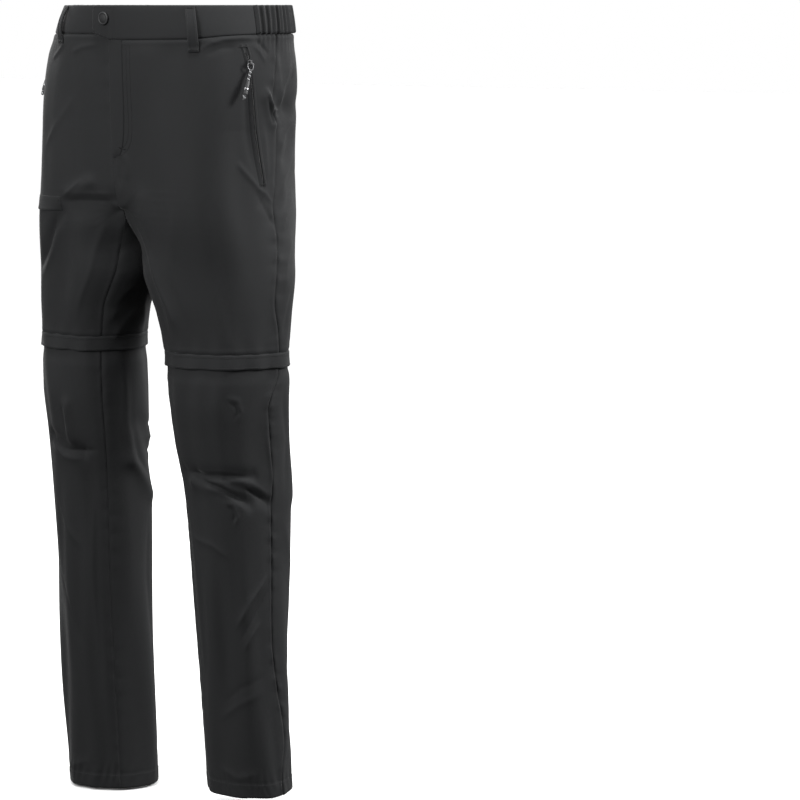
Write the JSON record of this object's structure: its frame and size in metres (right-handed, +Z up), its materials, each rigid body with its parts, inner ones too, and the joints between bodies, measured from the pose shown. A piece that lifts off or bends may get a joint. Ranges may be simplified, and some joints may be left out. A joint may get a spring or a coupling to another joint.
{
  "type": "convertible zip-off trousers",
  "caption": "Long softshell trousers that hold their worn shape, with zip-off lower legs, slanted zip pockets with corded pulls, a gathered side waist and a thigh pocket.",
  "frame": {"origin": "middle of the waist opening, level with the waistband's top edge, where the wearer's waist holds the trousers", "axes": "+Z up, +X towards the wearer's left, -Y the way the wearer faces"},
  "size_m": [0.3939, 0.273, 1.0652],
  "materials": {
    "cloth": "smooth stretch softshell, matt",
    "band": "smooth stretch softshell, matt",
    "zip": "coated tape and coil",
    "metal": "black enamel over metal",
    "cord": "braided cord with light flecks",
    "grip": "moulded, satin"
  },
  "bodies": {
    "garment": {"waistband_front_left": "band", "waistband_front_right": "band", "waistband_elastic_left": "band", "waistband_elastic_right": "band", "waistband_back": "band", "belt_loop_front_left": "band", "belt_loop_front_right": "band", "belt_loop_back_left": "band", "belt_loop_back_right": "band", "belt_loop_back_centre": "band", "snap_button": "metal", "front_left": "cloth", "back_left": "cloth", "front_right": "cloth", "back_right": "cloth", "fly_lap": "cloth", "flap_left": "cloth", "flap_right": "cloth", "knee_zip_left": "zip", "knee_zip_right": "zip", "knee_zip_slider_left": "metal", "knee_zip_slider_right": "metal", "lower_front_left": "cloth", "lower_back_left": "cloth", "lower_front_right": "cloth", "lower_back_right": "cloth", "pocket_zip_left": "zip", "pocket_zip_right": "zip", "pocket_slider_left": "metal", "pocket_slider_right": "metal", "thigh_pocket_welt": "cloth"},
    "pull_left": {"pull_bail_left": "metal", "pull_cord_left": "cord", "pull_grip_left": "grip", "pull_tail_left": "cord"},
    "pull_right": {"pull_bail_right": "metal", "pull_cord_right": "cord", "pull_grip_right": "grip", "pull_tail_right": "cord"}
  },
  "joints": [
    {"name": "pocket_pull_left", "type": "hinge", "parent": "garment", "child": "pull_left", "pos_m": [0.17388, -0.05551, -0.0742], "axis": [-0.3596, -0.9197, 0.1576], "range_deg": [0, 140]},
    {"name": "pocket_pull_right", "type": "hinge", "parent": "garment", "child": "pull_right", "pos_m": [-0.17388, -0.05551, -0.0742], "axis": [-0.3596, 0.9197, -0.1576], "range_deg": [0, 140]}
  ]
}
